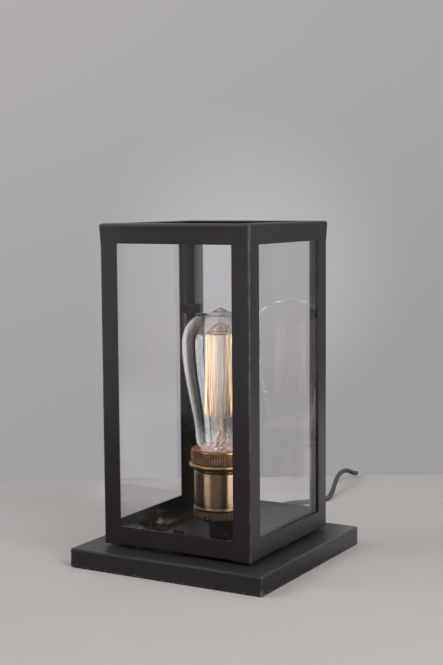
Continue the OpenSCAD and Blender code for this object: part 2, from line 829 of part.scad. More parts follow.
// Strap round the coil's bundle
module coil_tie() {
    inner = coil_inner - cord_radius - 0.9;
    outer = coil_outer + cord_radius + 0.1;
    low = coil_low - cord_radius - 0.1;
    high = coil_high + cord_radius + 0.3;
    thick = 0.8;
    color([0.1, 0.1, 0.1]) translate([coil_x, coil_y, 0]) rotate([0, 0, tie_angle])
        translate([0, 4, 0]) rotate([90, 0, 0]) linear_extrude(8) difference() {
            translate([inner - thick, low - thick])
                square([outer - inner + 2 * thick, high - low + 2 * thick]);
            translate([inner, low]) square([outer - inner, high - low]);
        }
}

// Outline of the switch's housing with round ends
module switch_outline(width) {
    round_end = 8;
    hull() for (x = [-1, 1], y = [-1, 1])
        translate([x * (width / 2 - round_end), y * (switch_length / 2 - round_end)])
            circle(round_end, $fn = 32);
}

// Housing between two heights, crowned towards its top, with the cord's way through it
module switch_half(low, high, crown) {
    color([0.09, 0.09, 0.1]) difference() {
        translate([switch_x, switch_y, 0]) hull() {
            translate([0, 0, low]) linear_extrude(high - low - abs(crown)) switch_outline(switch_width);
            translate([0, 0, high - 0.01]) linear_extrude(0.01) switch_outline(switch_width - 2 * crown);
        }
        translate([switch_x, switch_y - switch_length, switch_z]) rotate([-90, 0, 0])
            cylinder(r = cord_radius + 0.1, h = 2 * switch_length);
        for (y = [-1, 1]) translate([switch_x, switch_y + 17.5 * y, 0]) {
            translate([7, 0, 0.8]) cylinder(r = 1.25, h = switch_height - 4);
            translate([7, 0, -1]) cylinder(r = 2.4, h = 3);
        }
        // well for the rocker, with seats for its pivots
        translate([switch_x - 5, switch_y - 9, rocker_z - 4]) cube([10, 18, 10]);
        translate([switch_x - 7, switch_y, rocker_z]) rotate([0, 90, 0]) cylinder(r = 1.3, h = 14);
    }
}

module switch_lower() { switch_half(0, switch_z, 0); }
module switch_upper() { switch_half(switch_z, switch_height, 2); }

// Rocker with a cross pivot; it stands tilted to off
module switch_rocker() {
    color([0.75, 0.75, 0.73]) translate([switch_x, switch_y, rocker_z])
        rotate([rocker_tilt, 0, 0]) union() {
            translate([-4.7, 0, 0]) rotate([90, 0, 90]) linear_extrude(9.4) polygon([
                [-8, 2.6], [-7.4, 4.4], [-3.5, 3.6], [0, 3.3], [3.5, 3.6], [7.4, 4.4], [8, 2.6],
                [3.4, -2.4], [-3.4, -2.4]
            ]);
            translate([-6.8, 0, 0]) rotate([0, 90, 0]) cylinder(r = 1.24, h = 13.6);
        }
}

module switch_screws() {
    color("silver") for (y = [-1, 1]) translate([switch_x + 7, switch_y + 17.5 * y, 0]) {
        translate([0, 0, 0.6]) cylinder(r = 2.3, h = 1.4);
        translate([0, 0, 1]) cylinder(r = 1.25, h = 11);
    }
}

// Two-pole plug lying on its flat side: ribbed boot, grip and blades
module plug_body() {
    thick = 2 * plug_z;
    front = plug_end - plug_boot - plug_length;
    color([0.09, 0.09, 0.1]) translate([plug_x, 0, plug_z]) {
        translate([0, plug_end, 0]) rotate([90, 0, 0]) rotate_extrude() polygon([
            [0, 0], [3.3, 0], [3.7, 3], [3.3, 3.4], [3.5, 4.6], [4.2, 5], [4.4, 8], [3.9, 8.4],
            [4.1, 9.6], [4.9, 10], [5.2, 14], [5.6, plug_boot], [0, plug_boot]
        ]);
        hull() {
            translate([-6, plug_end - plug_boot - 1, -5.5]) cube([12, 1, 11]);
            translate([-plug_width / 2 + 1, plug_end - plug_boot - 12, -thick / 2 + 0.6])
                cube([plug_width - 2, 1, thick - 1.2]);
            translate([-plug_width / 2, front, -thick / 2]) cube([plug_width, 6, thick]);
        }
    }
}

// Flat blades; one is wider, so that the plug goes in only one way round
module plug_blades() {
    front = plug_end - plug_boot - plug_length;
    tip = front - blade_length;
    color([0.8, 0.75, 0.6]) for (side = [-1, 1]) {
        half_width = side > 0 ? 3.95 : 3.175;
        translate([plug_x + side * blade_spacing / 2 - 0.75, 0, plug_z]) rotate([90, 0, 90])
            linear_extrude(1.5) difference() {
                polygon([
                    [front, -half_width], [front, half_width], [tip + 1.5, half_width],
                    [tip, half_width - 1.2], [tip, 1.2 - half_width], [tip + 1.5, -half_width]
                ]);
                translate([tip + 4.5, 0]) circle(1.5);
            }
    }
}

felt_pad();
base_board();
board_screws();
base_shell();
frame_spacers();
frame_nuts();
post_front_left();
post_front_right();
post_back_right();
post_back_left();
rail_front();
rail_right();
rail_back();
rail_left();
top_frame();
pane_front();
pane_right();
pane_back();
pane_left();
rail_clips();
rail_washers();
rail_screws();
corner_clips();
corner_screws();
nipple();
nipple_nut();
nipple_washer();
holder_neck();
lower_ring();
holder_shell();
shade_ring();
holder_core();
screw_shell();
centre_contact();
terminal_screws();
wire_live();
wire_neutral();
bulb_contact();
bulb_insulator();
bulb_cap();
bulb_glass();
bulb_stem();
filament();
filament_supports();
strain_relief();
cord();
cord_coil();
coil_tie();
switch_lower();
switch_upper();
switch_rocker();
switch_screws();
plug_body();
plug_blades();
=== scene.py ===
# %% [markdown]
# # Lantern table lamp
# A black steel lantern with four panes of clear glass stands on a square plinth. Inside is a
# filament bulb in an antique brass screw holder. The metal frame, the panes and everything that
# moves come as finished solids, so this lesson is about light, finish and the finest details:
# the cord, the knurled rings, the thin glass of the bulb and its glowing cage of filament.

# %% Load the solids
import math
import bpy
import bmesh
from mathutils import Matrix, Vector


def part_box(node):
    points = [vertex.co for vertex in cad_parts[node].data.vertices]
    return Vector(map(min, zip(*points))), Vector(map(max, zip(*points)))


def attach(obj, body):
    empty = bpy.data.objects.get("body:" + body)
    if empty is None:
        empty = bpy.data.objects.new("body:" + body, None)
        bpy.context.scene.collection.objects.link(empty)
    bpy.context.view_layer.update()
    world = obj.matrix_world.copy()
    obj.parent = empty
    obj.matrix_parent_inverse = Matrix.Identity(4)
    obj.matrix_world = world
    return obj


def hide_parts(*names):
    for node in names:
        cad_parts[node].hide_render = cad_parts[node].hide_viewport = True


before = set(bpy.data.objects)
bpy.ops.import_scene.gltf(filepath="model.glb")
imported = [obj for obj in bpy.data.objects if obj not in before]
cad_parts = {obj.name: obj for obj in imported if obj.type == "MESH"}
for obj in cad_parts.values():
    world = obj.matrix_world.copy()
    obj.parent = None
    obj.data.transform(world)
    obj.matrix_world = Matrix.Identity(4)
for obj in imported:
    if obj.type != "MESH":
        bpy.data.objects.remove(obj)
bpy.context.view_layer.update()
MM = 0.001

# %% [markdown]
# The camera stands to the right of the lamp and a little above it. A long lens, far away, keeps
# the posts nearly upright. The sensor's long side is the picture's height, because the picture
# is upright. The camera's place is in metres, and two directions give its turn: where its right
# side points and where it looks.

# %% Camera
PHOTO_HEIGHT = 665
FOCAL_PIXELS = 1330.8
SENSOR = 36.0
NEAREST, FARTHEST = 0.05, 30
CAMERA_PLACE = (0.5498, -0.9537, 0.3007)
CAMERA_RIGHT = (0.8686, 0.4955, -0.0075)
CAMERA_LOOK = (-0.4937, 0.8638, -0.1006)


def add(name, data):
    """Puts a mesh, curve, camera or light in the scene as an object at the origin."""
    obj = bpy.data.objects.new(name, data)
    bpy.context.scene.collection.objects.link(obj)
    return obj


def make_camera():
    data = bpy.data.cameras.new("camera")
    data.sensor_width = SENSOR
    data.lens = FOCAL_PIXELS * SENSOR / PHOTO_HEIGHT
    data.clip_start, data.clip_end = NEAREST, FARTHEST
    camera = add("camera", data)
    look = Vector(CAMERA_LOOK).normalized()
    up = Vector(CAMERA_RIGHT).normalized().cross(look).normalized()
    turn = Matrix((look.cross(up), up, -look)).transposed().to_4x4()
    camera.matrix_world = Matrix.Translation(CAMERA_PLACE) @ turn
    bpy.context.scene.camera = camera
    return camera


camera = make_camera()
print("lens:", round(camera.data.lens, 2), "mm")

# %% [markdown]
# The cord is one flexible line of fixed length. It leaves the strain relief at the back, lies on
# the table in loose bends, rises in a low hump, runs through the in-line switch and ends in a
# put-away coil. A curve with a round bevel is the natural way: the points are its centre line,
# and the bevel gives its thickness. The points repeat the ones that the solid follows, and the
# curve ends as a plain mesh, like every other piece.

# %% Cord
CORD_DIAMETER = 4.6 * MM
BEVEL_STEPS = 5
CORD_ROUTE = [
    (0, 112, 7.5), (0, 118, 7.4), (-2, 125, 6.8), (-7, 136, 5.2), (-14, 146, 3.6), (-21, 155, 2.6),
    (-27, 164, 2.3), (-31, 174, 2.3), (-31.5, 184, 2.3), (-27, 194, 2.3), (-19, 203, 2.3),
    (-11.5, 212, 2.3), (-7, 222, 2.3), (-6.5, 233, 2.3), (-9, 244, 3), (-12, 255, 4.9),
    (-16, 267, 7.3), (-19.5, 279, 9.8), (-23, 292, 11.8), (-25.5, 304, 12.6), (-27, 315, 12.2),
    (-28, 325, 10.6), (-28.5, 334, 7.8), (-29, 343, 4.8), (-29.5, 352, 2.8), (-30, 362, 2.3),
    (-30, 372, 2.9), (-30, 382, 4.5), (-30, 391, 5.7), (-30, 400, 6), (-30, 424, 6),
    (-30, 448, 6), (-30, 458, 5.6), (-30, 468, 4.5), (-30, 478, 3.5), (-30, 488, 3.2),
    (-30, 494, 3.2),
]


def smooth_spline(data, points):
    """Adds one open spline through points, in millimetres, to a curve."""
    spline = data.splines.new("BEZIER")
    spline.bezier_points.add(len(points) - 1)
    for knot, point in zip(spline.bezier_points, points):
        knot.co = Vector(point) * MM
        knot.handle_left_type = knot.handle_right_type = "AUTO"


def to_mesh(obj):
    """Turns a curve, or an object with modifiers, into a plain smooth mesh of the same name."""
    name = obj.name
    seen = obj.evaluated_get(bpy.context.evaluated_depsgraph_get())
    mesh = bpy.data.meshes.new_from_object(seen)
    bpy.data.objects.remove(obj)
    mesh.name = name
    mesh.shade_smooth()
    return add(name, mesh)


def tube(name, points, radius, resolution=6):
    """A round tube along points, and the line that it follows, as points in metres."""
    line = bpy.data.curves.new(name, "CURVE")
    line.dimensions = "3D"
    line.resolution_u = resolution
    smooth_spline(line, points)
    followed = to_mesh(add(name + "_line", line))
    path = [v.co.copy() for v in followed.data.vertices]
    bpy.data.objects.remove(followed)
    line.bevel_depth = radius
    line.bevel_resolution = BEVEL_STEPS
    line.use_fill_caps = True
    return to_mesh(add(name, line)), path


lead, lead_path = tube("lead", CORD_ROUTE, CORD_DIAMETER / 2)
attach(lead, "lamp")
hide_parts("cord")
print("lead:", len(lead.data.polygons), "faces")

# %% [markdown]
# The spare length is wound in two layers. The lower loops spiral in at a steady rate, the cord
# climbs in the middle, and the upper loops spiral out again. One formula gives every point, and
# short straight ends lead to the switch's cord and to the plug.

# %% Coil
COIL_INNER, COIL_PITCH, COIL_TURNS = 19, 5.1, 7.5
COIL_LOW = 3.2
COIL_HIGH = COIL_LOW + COIL_PITCH
COIL_OUTER = COIL_INNER + COIL_PITCH * COIL_TURNS / 2
COIL_X, COIL_Y = COIL_OUTER + CORD_ROUTE[-1][0], 500
COIL_STEP = 15
COIL_CLIMB = 90
COIL_ENTRY, COIL_EXIT = (6, 3), (5.4, 10)


def coil_point(angle):
    """A point of the coil in millimetres, at an angle in degrees from the middle of its climb."""
    radius = COIL_INNER + COIL_PITCH * abs(angle) / 360
    climb = min(max(angle, -COIL_CLIMB), COIL_CLIMB)
    share = (1 - math.cos(math.radians(climb + COIL_CLIMB))) / 2
    place = math.radians(180 - 180 * COIL_TURNS - angle)
    return (
        COIL_X + radius * math.cos(place),
        COIL_Y + radius * math.sin(place),
        COIL_LOW + share * (COIL_HIGH - COIL_LOW),
    )


def length_of(path):
    """The length of a line in metres."""
    return sum((b - a).length for a, b in zip(path, path[1:]))


half_wind = int(180 * COIL_TURNS)
wound = [coil_point(angle) for angle in range(-half_wind, half_wind + 1, COIL_STEP)]
coil_points = (
    [(COIL_X - COIL_OUTER, COIL_Y - before, COIL_LOW) for before in COIL_ENTRY]
    + wound
    + [(COIL_X + COIL_OUTER, COIL_Y - after, COIL_HIGH) for after in COIL_EXIT]
)
coil, coil_path = tube("coil", coil_points, CORD_DIAMETER / 2, resolution=4)
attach(coil, "lamp")
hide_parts("cord_coil")
print("lead", round(length_of(lead_path), 3), "m, coil", round(length_of(coil_path), 3), "m")

# %% [markdown]
# A finish is a small network of nodes, and node maths reads best as plain arithmetic. `Value`
# wraps a node's output socket, so that `1 - mask * 0.5` adds the Math nodes by itself. A `Maker`
# makes any node from its type, its settings and its sockets.

# %% Node arithmetic


class Value:
    """An output socket that takes part in arithmetic."""

    def __init__(self, maker, socket):
        self.maker, self.socket = maker, socket

    def math(self, operation, a, b=0):
        return self.maker.node("ShaderNodeMath", {"operation": operation}, {0: a, 1: b})

    def __add__(self, other):
        return self.math("ADD", self, other)

    def __radd__(self, other):
        return self.math("ADD", other, self)

    def __sub__(self, other):
        return self.math("SUBTRACT", self, other)

    def __rsub__(self, other):
        return self.math("SUBTRACT", other, self)

    def __mul__(self, other):
        return self.math("MULTIPLY", self, other)

    def __rmul__(self, other):
        return self.math("MULTIPLY", other, self)

    def __truediv__(self, other):
        return self.math("DIVIDE", self, other)

    def __mod__(self, other):
        return self.math("MODULO", self, other)

    def __pow__(self, other):
        return self.math("POWER", self, other)

    def __abs__(self):
        return self.math("ABSOLUTE", self)

    def low(self, other):
        return self.math("MINIMUM", self, other)

    def high(self, other):
        return self.math("MAXIMUM", self, other)

    def sine(self):
        return self.math("SINE", self)

    def cosine(self):
        return self.math("COSINE", self)


class Maker:
    """Makes nodes in its tree."""

    def node(self, kind, settings=None, sockets=None, out=0):
        """Makes a node, sets its settings first, then its sockets, and returns one output."""
        made = self.tree.nodes.new(kind)
        for name, value in (settings or {}).items():
            if name == "stops":
                self.set_stops(made.color_ramp, value)
            else:
                setattr(made, name, value)
        for key, value in (sockets or {}).items():
            socket = made.inputs[key]
            if isinstance(value, Value):
                self.tree.links.new(value.socket, socket)
            else:
                socket.default_value = value
        return Value(self, made.outputs[out])

    def set_stops(self, ramp, stops):
        while len(ramp.elements) < len(stops):
            ramp.elements.new(0.5)
        for element, (place, colour) in zip(ramp.elements, stops):
            element.position = place
            element.color = colour

    def outputs(self, value, *names):
        """Other outputs of the node that a value comes from."""
        return [Value(self, value.socket.node.outputs[name]) for name in names]


def away(a, b):
    """The length of a step that goes a one way and b the other, for values or numbers."""
    return (a * a + b * b) ** 0.5


print("a step of 3 and 4 goes", away(3, 4), "far")

# %% [markdown]
# `Paint` is the maker for one material. It reads the place on the object in millimetres, so a
# pattern has its real size and doesn't slide when a piece moves. Colours are written as they
# look in a picture, and `srgb` turns them into the linear ones that a shader takes.

# %% Paint box


class Paint(Maker):
    """One material and its node tree. Lengths in the tree are millimetres."""

    def __init__(self, name):
        self.material = bpy.data.materials.new(name)
        self.material.use_nodes = True
        self.tree = self.material.node_tree
        self.tree.nodes.clear()
        self.output = self.tree.nodes.new("ShaderNodeOutputMaterial")

    def place(self):
        """Object coordinates in millimetres."""
        where = self.node("ShaderNodeTexCoord", out="Object")
        return self.node("ShaderNodeVectorMath", {"operation": "SCALE"}, {0: where, "Scale": 1000})

    def axes(self, where):
        parts = self.node("ShaderNodeSeparateXYZ", sockets={0: where})
        return self.outputs(parts, 0, 1, 2)

    def noise(self, where, scale, detail=2.0, roughness=0.5):
        return self.node("ShaderNodeTexNoise", sockets={
            "Vector": where, "Scale": scale, "Detail": detail, "Roughness": roughness})

    def stretch(self, where, scale):
        return self.node("ShaderNodeMapping", sockets={"Vector": where, "Scale": scale})

    def ramp(self, value, *stops):
        return self.node("ShaderNodeValToRGB", {"stops": stops}, {0: value})

    def fade(self, value, low, high):
        """0 at low and 1 at high, smoothly."""
        return self.node("ShaderNodeMapRange", {"interpolation_type": "SMOOTHSTEP"}, {
            "Value": value, "From Min": low, "From Max": high})

    def blend(self, share, first, second):
        """A colour between two colours."""
        return self.node("ShaderNodeMix", {"data_type": "RGBA"}, {
            "Factor": share, 6: first, 7: second}, out=2)

    def bump(self, height, strength, distance=0.1):
        return self.node("ShaderNodeBump", sockets={
            "Height": height, "Strength": strength, "Distance": distance * MM})

    def ray(self, kind):
        """1 where the ray that meets the surface is of this kind."""
        return self.node("ShaderNodeLightPath", out=kind)

    def behind(self):
        """1 where the ray meets the surface from behind."""
        return self.node("ShaderNodeNewGeometry", out="Backfacing")

    def surface(self, **sockets):
        """A Principled shader; underscores in socket names stand for spaces."""
        named = {name.replace("_", " "): value for name, value in sockets.items()}
        return self.node("ShaderNodeBsdfPrincipled", sockets=named)

    def clear(self, colour=(1, 1, 1, 1)):
        return self.node("ShaderNodeBsdfTransparent", sockets={"Color": colour})

    def light(self, colour, strength=1.0):
        return self.node("ShaderNodeEmission", sockets={"Color": colour, "Strength": strength})

    def mix(self, share, first, second):
        """A shader between two shaders."""
        return self.node("ShaderNodeMixShader", sockets={0: share, 1: first, 2: second})

    def finish(self, shader):
        self.tree.links.new(shader.socket, self.output.inputs["Surface"])
        return self.material


def srgb(red, green, blue):
    """A colour seen in a picture, 0 to 255, as the linear colour that a shader takes."""
    def linear(v):
        v = v / 255
        return v / 12.92 if v <= 0.04045 else ((v + 0.055) / 1.055) ** 2.4
    return (linear(red), linear(green), linear(blue), 1.0)


def times(colour, share):
    """A colour made lighter or darker, still opaque."""
    return [c * share for c in colour[:3]] + [1]


def dress(material, *names):
    """Gives a material to solids of the frame."""
    for name in names:
        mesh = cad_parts[name].data
        mesh.materials.clear()
        mesh.materials.append(material)
        for face in mesh.polygons:
            face.material_index = 0
    print(material.name, "on", ", ".join(names))


# %% [markdown]
# The lantern and the plinth are folded from sheet steel and sprayed satin black. Up close such
# paint has a fine orange-peel texture and a slight cool cast. Over the outer folds it turns paler
# and shinier: on the lantern that is paint drawn thin, and on the plinth's corners it is a painted
# highlight. All masks are worked out from the place: a point is on an outer fold where both of its
# distances from the middle are near the half side, and inside the lantern where both are well
# short of it. The lantern's inside mirrors more and is painted olive, a painted reflection of the
# warm bulb and brass, and the plinth's lower rim is chipped, so the two materials share one
# function and switch these on.

# %% Black paint
# Painted reflection: the olive that the lantern's inner faces get for the warm bulb and brass they mirror.
PAINTED_INSIDE_REFLECTION = srgb(50, 43, 20)
CHIP = srgb(148, 124, 98)
FOLD_NEAR, FOLD_FAR = 0.2, 2.6
SHEET_THIN, SHEET_THICK = 0.9, 1.1
CHIP_FULL, CHIP_GONE = 0.4, 1.8


def painted_steel(name, colour, edge_wear_and_highlight, half_side, low, top, inside_reflection, chips):
    """Satin black paint; inside_reflection (the painted olive reflection inside the lantern) and chips are
    1 where the piece has them, or else 0.
    """
    paint = Paint(name)
    where = paint.place()
    x, y, z = paint.axes(where)
    off_x = half_side - abs(x)
    off_y = half_side - abs(y)
    patchy = paint.noise(where, 0.06, detail=4)
    fine = paint.noise(where, 1.4, detail=3, roughness=0.6)
    on_fold = 1 - paint.fade(away(off_x, off_y), FOLD_NEAR, FOLD_FAR)
    # The paler fold is paint worn thin on the lantern, and a painted highlight on the plinth's vertical
    # corners.
    wear_and_highlight = on_fold * paint.fade(patchy, 0.42, 0.62)
    # Inside the lantern the colour is a painted reflection of the warm bulb and brass.
    inside = paint.fade(off_x.low(off_y).low(top - z), SHEET_THIN, SHEET_THICK) * inside_reflection
    speckle = paint.fade(paint.noise(where, 0.45, detail=5, roughness=0.7), 0.54, 0.6)
    chipped = (1 - paint.fade(z, low + CHIP_FULL, low + CHIP_GONE)) * speckle * chips
    outer = paint.blend(wear_and_highlight * 0.5, paint.blend(patchy, colour, times(colour, 1.25)), edge_wear_and_highlight)
    shader = paint.surface(
        Base_Color=paint.blend(chipped, paint.blend(inside, outer, PAINTED_INSIDE_REFLECTION), CHIP),
        Roughness=0.42 + 0.1 * (patchy - 0.5) - 0.08 * wear_and_highlight - 0.24 * inside,
        Normal=paint.bump(fine, 0.12, 0.06),
        Coat_Weight=0.25 * (1 - inside),
        Coat_Roughness=0.3,
    )
    return paint.finish(shader)


rail_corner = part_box("rail_front")[0] / MM
frame_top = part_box("top_frame")[1].z / MM
plinth_low, plinth_high = (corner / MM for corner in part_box("base_shell"))
frame_paint = painted_steel("frame paint", srgb(38, 32, 38), srgb(92, 88, 92),
                            -rail_corner.y, rail_corner.z, frame_top, inside_reflection=1, chips=0)
# The plinth's pale edge colour is a painted highlight down its corners.
plinth_paint = painted_steel("plinth paint", srgb(42, 39, 44), srgb(160, 156, 156),
                             plinth_high.x, plinth_low.z, plinth_high.z, inside_reflection=0, chips=1)
dress(frame_paint, "post_front_left", "post_front_right", "post_back_right", "post_back_left",
      "rail_front", "rail_right", "rail_back", "rail_left", "top_frame")
dress(plinth_paint, "base_shell")

# %% [markdown]
# The lamp's fittings are zinc-plated, blackened or made of brass. They share one recipe: a base
# colour that tarnish darkens in patches, and fine scratches. On the turned brass shell the
# scratches are stretched round it, which gives the satin sheen of a lathe's finish.

# %% Metals
ROUND_THE_SHELL = (0.05, 0.05, 1)


def metal(name, colour, tarnish, roughness=0.3, amount=0.5, grain=(1, 1, 1), bump=0.06):
    paint = Paint(name)
    where = paint.place()
    patches = paint.noise(where, 0.16, detail=5, roughness=0.6)
    scratches = paint.noise(paint.stretch(where, grain), 2.2, detail=3)
    dark = paint.fade(patches, 0.35, 0.7) * amount
    shader = paint.surface(
        Base_Color=paint.blend(dark, colour, tarnish),
        Metallic=1.0,
        Roughness=roughness + 0.14 * (scratches - 0.5) + 0.16 * dark,
        Normal=paint.bump(scratches, bump, 0.05),
    )
    return paint.finish(shader)


zinc = metal("zinc", srgb(176, 172, 164), srgb(104, 98, 88), 0.34)
dark_steel = metal("dark steel", srgb(58, 48, 40), srgb(30, 25, 22), 0.4, 0.8)
brass_shell = metal("satin brass", srgb(176, 148, 120), srgb(134, 108, 84), 0.2, 0.3, ROUND_THE_SHELL)
brass_bright = metal("bright brass", srgb(206, 172, 104), srgb(150, 112, 60), 0.28, 0.4)
solder = metal("solder", srgb(168, 168, 166), srgb(110, 110, 110), 0.45)
dress(zinc, "board_screws", "frame_nuts", "rail_washers", "rail_screws", "nipple", "nipple_washer",
      "terminal_screws", "switch_screws")
dress(dark_steel, "rail_clips", "corner_clips", "corner_screws")
dress(brass_shell, "holder_shell")
dress(brass_bright, "nipple_nut", "screw_shell", "centre_contact", "bulb_cap", "plug_blades")
dress(solder, "bulb_contact")

# %% [markdown]
# Felt, fibreboard, rubber, porcelain, plastic and the cord's vinyl are all dull or glossy
# insulators. They differ in colour, gloss and the scale of their grain, so one small function
# with those as inputs does. Porcelain and the bulb's black glass get a clear coat as a glaze.

# %% Plain materials


def plain(name, colour, second, roughness, scale, bump=0.1, contrast=0.5, depth=0.08, coat=0.0):
    paint = Paint(name)
    where = paint.place()
    grain = paint.noise(where, scale, detail=4, roughness=0.6)
    shader = paint.surface(
        Base_Color=paint.blend(paint.fade(grain, 0.3, 0.7) * contrast, colour, second),
        Roughness=roughness + 0.12 * (grain - 0.5),
        Normal=paint.bump(grain, bump, depth),
        Coat_Weight=coat,
        Coat_Roughness=0.15,
    )
    return paint.finish(shader)


felt = plain("felt", srgb(96, 66, 44), srgb(58, 40, 28), 0.95, 2.6, 0.6, 0.9, 0.3)
board = plain("fibreboard", srgb(152, 122, 88), srgb(120, 94, 66), 0.85, 1.2, 0.3, 0.8)
rubber = plain("rubber", srgb(30, 30, 31), srgb(46, 45, 45), 0.62, 1.0, 0.12)
porcelain = plain("porcelain", srgb(226, 222, 212), srgb(204, 198, 186), 0.2, 0.3, 0.03, coat=0.6)
black_plastic = plain("black plastic", srgb(30, 30, 32), srgb(44, 44, 46), 0.45, 3.0, 0.25, 0.4, 0.05)
grey_plastic = plain("grey plastic", srgb(176, 176, 172), srgb(160, 160, 156), 0.35, 2.0, 0.06)
black_wire = plain("black wire", srgb(34, 34, 34), srgb(50, 50, 50), 0.4, 1.5, 0.05)
white_wire = plain("white wire", srgb(214, 212, 206), srgb(190, 188, 180), 0.4, 1.5, 0.05)
black_glass = plain("black glass", srgb(22, 22, 30), srgb(34, 32, 44), 0.12, 0.8, 0.05, coat=0.5)
vinyl = plain("cord vinyl", srgb(66, 66, 70), srgb(84, 84, 88), 0.42, 0.9, 0.1, 0.6, 0.06)
dress(felt, "felt_pad")
dress(board, "base_board")
dress(rubber, "frame_spacers", "strain_relief", "coil_tie")
dress(porcelain, "holder_core")
dress(black_plastic, "switch_lower", "switch_upper", "plug_body")
dress(grey_plastic, "switch_rocker")
dress(black_wire, "wire_live")
dress(white_wire, "wire_neutral")
dress(black_glass, "bulb_insulator")
for sleeve in (lead, coil):
    sleeve.data.materials.append(vinyl)

# %% [markdown]
# A pane of window glass shows what is behind it and mirrors what is in front, more and more
# towards grazing angles. So a clear shader and a glossy one are mixed, by the share that glass
# mirrors at each angle. Its cut edges are greenish, because there one looks along the sheet.
# Light from the lamps passes straight through, so that the glass casts no dark shadow.

# %% Pane glass
PANE_IOR = 1.65
PANE_CLEAR = (0.997, 0.994, 0.998, 1)
PANE_EDGE = (0.35, 0.5, 0.42, 1)
PANE_GLOSS = (0.98, 0.96, 1.0, 1)
EDGE_DEPTH = 0.35


def pane_glass(half_width, low, high):
    paint = Paint("pane glass")
    where = paint.place()
    x, y, z = paint.axes(where)
    across = abs(x).low(abs(y))
    from_edge = (half_width - across).low(z - low).low(high - z)
    edge = 1 - paint.fade(from_edge, 0.0, EDGE_DEPTH)
    smear = paint.noise(where, 0.03, detail=3)
    clear = paint.clear(PANE_CLEAR)
    gloss = paint.node("ShaderNodeBsdfGlossy", sockets={
        "Color": PANE_GLOSS, "Roughness": 0.01 + 0.02 * smear})
    mirrored = paint.node("ShaderNodeFresnel", sockets={
        "IOR": PANE_IOR - paint.behind() * (PANE_IOR - 1 / PANE_IOR)})
    seen_through = paint.mix(edge, clear, paint.clear(PANE_EDGE))
    seen = paint.mix(mirrored + 0.3 * edge, seen_through, gloss)
    return paint.finish(paint.mix(paint.ray("Is Shadow Ray"), seen, clear))


pane_low, pane_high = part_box("pane_front")
window = pane_glass(pane_high.x / MM, pane_low.z / MM, pane_high.z / MM)
dress(window, "pane_front", "pane_right", "pane_back", "pane_left")

# %% [markdown]
# The bulb's glass is blown thin. As a closed shell with an inner and an outer wall it bends and
# mirrors light as the real one does, most of all at its rim, and a wide, faint bump gives the
# waves of blown glass. Its lowest part catches many small mirror images of the brass and the
# wires. A little light of its own, uneven and fading upwards, stands for them.

# %% Bulb glass
REFLECTION_FULL, REFLECTION_GONE = 92, 116
BLACK = (0, 0, 0, 1)


def blown_glass(name, tint, roughness, reflection_colour):
    paint = Paint(name)
    where = paint.place()
    height = paint.axes(where)[2]
    ripple = paint.noise(where, 0.05, detail=1)
    uneven = paint.fade(paint.noise(where, 0.3, detail=2), 0.3, 0.7)
    # Painted reflection: near its foot the glass gives a little uneven light of its own, for the mirror
    # images of brass and wires.
    painted_reflection = (1 - paint.fade(height, REFLECTION_FULL, REFLECTION_GONE)) * uneven
    glass = paint.surface(
        Base_Color=tint,
        Roughness=roughness,
        IOR=1.5,
        Transmission_Weight=1.0,
        Normal=paint.bump(ripple, 0.15, 0.4),
        Emission_Color=paint.blend(painted_reflection, BLACK, reflection_colour),
        Emission_Strength=1.0,
    )
    return paint.finish(paint.mix(paint.ray("Is Shadow Ray"), glass, paint.clear(tint)))


# The stem's glass carries the same painted reflection, dimmer.
bulb_glass = blown_glass("bulb glass", (0.99, 0.98, 0.95, 1), 0.0, srgb(96, 96, 102))
stem_glass = blown_glass("stem glass", (0.95, 0.94, 0.9, 1), 0.05, srgb(60, 60, 62))
dress(bulb_glass, "bulb_glass")
dress(stem_glass, "bulb_stem")

# %% [markdown]
# The filament is a thin thread that glows amber, a little unevenly along its length, so it is a
# surface that gives light. The wires that hold it don't glow: they are metal in three warm
# tones, and mirror the filament beside them.

# %% Filament and wire finishes
GLOW = srgb(255, 192, 104)
GLOW_STRENGTH = 2.8
THREAD = srgb(150, 96, 50)


def glow(name, colour, strength):
    paint = Paint(name)
    flicker = paint.noise(paint.place(), 0.08, detail=2)
    return paint.finish(paint.surface(
        Base_Color=THREAD,
        Roughness=0.5,
        Emission_Color=paint.blend(flicker, colour, times(colour, 0.8)),
        Emission_Strength=strength,
    ))


filament_glow = glow("filament", GLOW, GLOW_STRENGTH)
warm_wire = metal("warm wire", srgb(226, 190, 160), srgb(150, 110, 84), 0.3, 0.5)
tie_wire = metal("tie wire", srgb(150, 108, 78), srgb(100, 70, 50), 0.4, 0.5)
gold_wire = metal("gold wire", srgb(240, 200, 130), srgb(200, 150, 90), 0.2, 0.4)
print("bulb finishes:", [m.name for m in (filament_glow, warm_wire, tie_wire, gold_wire)])

# %% [markdown]
# Three kinds of detail go round an axis again and again: the strands of the filament, the wires
# that hold it, and the ridges of the knurled rings. Geometry Nodes are made for that. `Recipe`
# is the maker for such a tree: its inputs have names, it sweeps a round wire along lines, and
# `grow` runs it once and keeps the result as a plain mesh.

# %% Recipe for a tree


